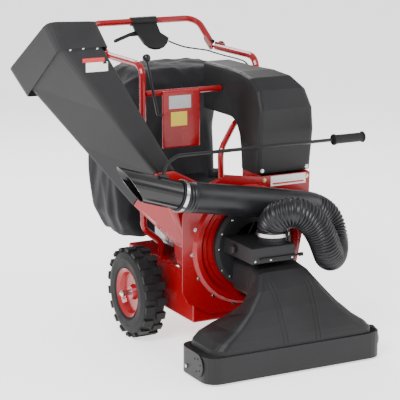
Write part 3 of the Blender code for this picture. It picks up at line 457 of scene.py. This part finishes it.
def makeBag():
    piece = linkPiece("bag_sack", cleanCopy("bag", "bag_sack"), finishes["bag_fabric"], body=None)
    remesh = piece.modifiers.new("skin", "REMESH")
    remesh.mode = "VOXEL"
    remesh.voxel_size = bag["voxel"]
    soften = piece.modifiers.new("soften", "SMOOTH")
    soften.factor = bag["softness"]
    soften.iterations = bag["smoothing"]
    applyStack(piece)
    low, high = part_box("bag")
    middle = (low + high) / 2
    piece.data.update()
    for vertex in piece.data.vertices:
        point = vertex.co.copy()
        share = (point.z - low.z) / (high.z - low.z)
        fold = noise.noise(Vector((point.x * bag["foldAcross"], point.y * bag["foldAcross"], point.z * bag["foldUp"])))
        fine = noise.noise(Vector((point.x * bag["fineAcross"] + bag["fineStart"], point.y * bag["fineAcross"],
                                   point.z * bag["fineUp"])))
        ridge = 1 - abs(fold) * bag["ridgeSharpness"]
        shift = bag["creases"] * (ridge - bag["ridgeLevel"]) + bag["fineCreases"] * (fine - bag["fineLevel"])
        vertex.co = point + vertex.normal * min(shift, bag["outward"])
        slack = 0.5 + 0.5 * noise.noise(point * bag["sagScale"])
        vertex.co.z -= bag["sag"] * math.sin(math.pi * share) * slack
    subdivide = piece.modifiers.new("round", "SUBSURF")
    subdivide.levels = subdivide.render_levels = 1
    applyStack(piece)
    piece.data.shade_smooth()
    piece.data.materials.clear()
    piece.data.materials.append(finishes["bag_fabric"])
    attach(piece, "machine")
    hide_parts("bag")
    print("bag sewn,", len(piece.data.polygons), "faces, width", round(2 * (high.x - middle.x), 3))


makeBag()


# bolts, rivets and screws: each set is one mesh of hex heads over washers, or of domed round heads
headShape = {"hexSides": 6, "roundSides": 14, "taper": 0.92, "washer": 1.45, "washerSides": 16, "washerHeight": 0.0012}
housingBolts = {"middle": (0.028, 0.385), "radius": 0.22032, "front": -0.3301,
                "angles": (112, 136, 160, 184, 208, 232, 256, 280, 304, 328)}
plateRivets = ((0.031, 0.522), (-0.045, 0.486), (-0.086, 0.440), (-0.098, 0.385), (-0.086, 0.307),
               (-0.055, 0.282), (0.135, 0.486), (0.176, 0.440))


def makeHeads(name, spots, material, radius=0.006, height=0.004, dome=False):
    sides = headShape["roundSides" if dome else "hexSides"]
    built = bmesh.new()
    for spot in spots:
        turn = Matrix.Translation(place(*spot)) @ turnTo((0, -1, 0))
        bmesh.ops.create_cone(built, cap_ends=True, segments=sides, radius1=radius,
                              radius2=radius * headShape["taper"], depth=height,
                              matrix=turn @ Matrix.Translation((0, 0, height / 2)))
        if dome:
            bmesh.ops.create_cone(built, cap_ends=True, segments=sides, radius1=radius * 0.9,
                                  radius2=radius * 0.45, depth=height * 0.6,
                                  matrix=turn @ Matrix.Translation((0, 0, height * 1.3)))
        else:
            reach, thick = radius * headShape["washer"], headShape["washerHeight"]
            bmesh.ops.create_cone(built, cap_ends=True, segments=headShape["washerSides"], radius1=reach,
                                  radius2=reach, depth=thick, matrix=turn @ Matrix.Translation((0, 0, thick / 2)))
    piece = linkPiece(name, meshFrom(built, name), material)


ring = []
for angle in housingBolts["angles"]:
    a = math.radians(angle)
    ring.append((housingBolts["middle"][0] + housingBolts["radius"] * math.cos(a), housingBolts["front"],
                 housingBolts["middle"][1] + housingBolts["radius"] * math.sin(a)))
makeHeads("housing_bolts", ring, finishes["bright_steel"], radius=0.0052)
makeHeads("outlet_bolts", [(x, housingBolts["front"], 0.611) for x in (0.100, 0.276)], brassBolt, radius=0.0055)
makeHeads("plate_rivets", [(x, -0.3570, z) for x, z in plateRivets], finishes["bright_steel"],
          radius=0.0046, height=0.0022, dome=True)
makeHeads("inlet_screws", [(x, -0.5621, 0.385) for x in (-0.068, -0.006, 0.080)], finishes["bright_steel"],
          radius=0.0042, height=0.002, dome=True)
makeHeads("elbow_bolts", [(x, -0.3033, 0.640) for x in (0.106, 0.292)], finishes["bright_steel"], radius=0.005)
print("bolts and rivets set")


# flat labels and plates, blank on purpose: left, right, low and high edges, how far forward, thickness
labels = {
    "outlet_plate": (0.126, 0.272, 0.586, 0.623, -0.3302, 0.0012, badgeWhite),
    "outlet_plate_stripe": (0.134, 0.264, 0.592, 0.598, -0.3314, 0.0004, badgeRed),
    "console_label": (-0.142, -0.052, 0.846, 0.894, -0.0531, 0.0010, badgeGrey),
    "console_plate": (-0.134, -0.068, 0.782, 0.834, -0.0531, 0.0010, badgeYellow),
}
hopper = {
    "parts": ("hopper_hood", "hopper_chute"), "labelThickness": 0.0008,
    "labels": {"red": (-0.590, -0.509, 1.077, 1.091, badgeRed), "white": (-0.578, -0.497, 1.044, 1.076, badgeWhite)},
    "screws": ((-0.634, 1.124), (-0.587, 1.126), (-0.536, 1.123)),
}


def makeLabel(name, corners, thickness, material):
    corners = [place(*corner) for corner in corners]
    facing = (corners[1] - corners[0]).cross(corners[2] - corners[1]).normalized()
    built = bmesh.new()
    lower = [built.verts.new(corner) for corner in corners]
    upper = [built.verts.new(corner + facing * thickness) for corner in corners]
    built.faces.new(list(reversed(lower)))
    built.faces.new(upper)
    for k in range(len(corners)):
        j = (k + 1) % len(corners)
        built.faces.new((lower[k], lower[j], upper[j], upper[k]))
    bmesh.ops.recalc_face_normals(built, faces=built.faces)
    piece = linkPiece(name, meshFrom(built, name), material, smooth=False)
    edge = piece.modifiers.new("edge", "BEVEL")
    edge.width = min(thickness * 0.4, 0.0008)
    edge.segments = 2


def frontOf(names, x, z):
    # how far forward the named parts reach at this place, or None where there are none
    hits = []
    for name in names:
        found, spot, _, _ = nodes[name].ray_cast(place(x, -farAway, z), Vector((0, 1, 0)))
        if found:
            hits.append(spot.y - machineOrigin.y)
    return min(hits) if hits else None


for name, (left, right, low, high, y, thickness, material) in labels.items():
    makeLabel(name, ((left, y, low), (right, y, low), (right, y, high), (left, y, high)), thickness, material)
for name, (left, right, low, high, material) in hopper["labels"].items():
    corners = [(x, frontOf(hopper["parts"], x, z), z)
               for x, z in ((left, low), (right, low), (right, high), (left, high))]
    makeLabel("hopper_label_" + name, corners, hopper["labelThickness"], material)
makeHeads("hopper_screws", [(x, frontOf(hopper["parts"], x, z), z) for x, z in hopper["screws"]],
          finishes["bright_steel"], radius=0.0045, height=0.002, dome=True)
print("labels set")

# pairs of raised ribs down the front of the pickup nozzle
nozzleRibs = {
    "radius": 0.0032, "sink": 0.35, "gap": 0.016, "steps": 40, "sides": 10, "largestStep": 0.02,
    "lines": (((-0.028, 0.312), (0.001, 0.112)), ((0.117, 0.306), (0.131, 0.110))),
}


def makeNozzleRibs():
    built = bmesh.new()
    for (x0, z0), (x1, z1) in nozzleRibs["lines"]:
        for offset in (-nozzleRibs["gap"] / 2, nozzleRibs["gap"] / 2):
            spots = []
            for step in range(nozzleRibs["steps"] + 1):
                t = step / nozzleRibs["steps"]
                x, z = x0 + (x1 - x0) * t + offset, z0 + (z1 - z0) * t
                y = frontOf(("nozzle_body",), x, z)
                if y is not None and (not spots
                                      or abs(y - spots[-1].y + machineOrigin.y) < nozzleRibs["largestStep"]):
                    spots.append(place(x, y + nozzleRibs["radius"] * nozzleRibs["sink"], z))
            tubeRows(built, routeFrames(spots), [nozzleRibs["radius"]] * len(spots), nozzleRibs["sides"])
    bmesh.ops.recalc_face_normals(built, faces=built.faces)
    piece = linkPiece("nozzle_ribs", meshFrom(built, "nozzle_ribs"), finishes["black_plastic"], angle=60)
    print("nozzle ribs", len(piece.data.polygons), "faces")


makeNozzleRibs()

# the clip by the handle's joint
strapClip = {"spot": (0.235, 0.325), "lookAhead": 0.02, "length": 0.026, "wall": 0.0028, "sides": 28, "edge": 0.0012}


def handleAt(x, y):
    # middle and half the height of the handle at this place
    _, top, _, _ = nodes["upper_handle"].ray_cast(place(x, y, farAway), Vector((0, 0, -1)))
    _, bottom, _, _ = nodes["upper_handle"].ray_cast(place(x, y, 0.0), Vector((0, 0, 1)))
    return (top + bottom) / 2, (top.z - bottom.z) / 2


def makeStrapClip():
    x, y = strapClip["spot"]
    middle, halfHeight = handleAt(x, y)
    ahead, _ = handleAt(x, y + strapClip["lookAhead"])
    reach = halfHeight + strapClip["wall"]
    built = bmesh.new()
    bmesh.ops.create_cone(built, cap_ends=True, segments=strapClip["sides"], radius1=reach, radius2=reach,
                          depth=strapClip["length"],
                          matrix=Matrix.Translation(middle) @ turnTo((ahead - middle).normalized()))
    piece = linkPiece("strap_clips", meshFrom(built, "strap_clips"), finishes["rubber"], "folding_handle")
    edge = piece.modifiers.new("edge", "BEVEL")
    edge.width = strapClip["edge"]
    edge.segments = 2
    print("strap clip set")


makeStrapClip()

low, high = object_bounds()
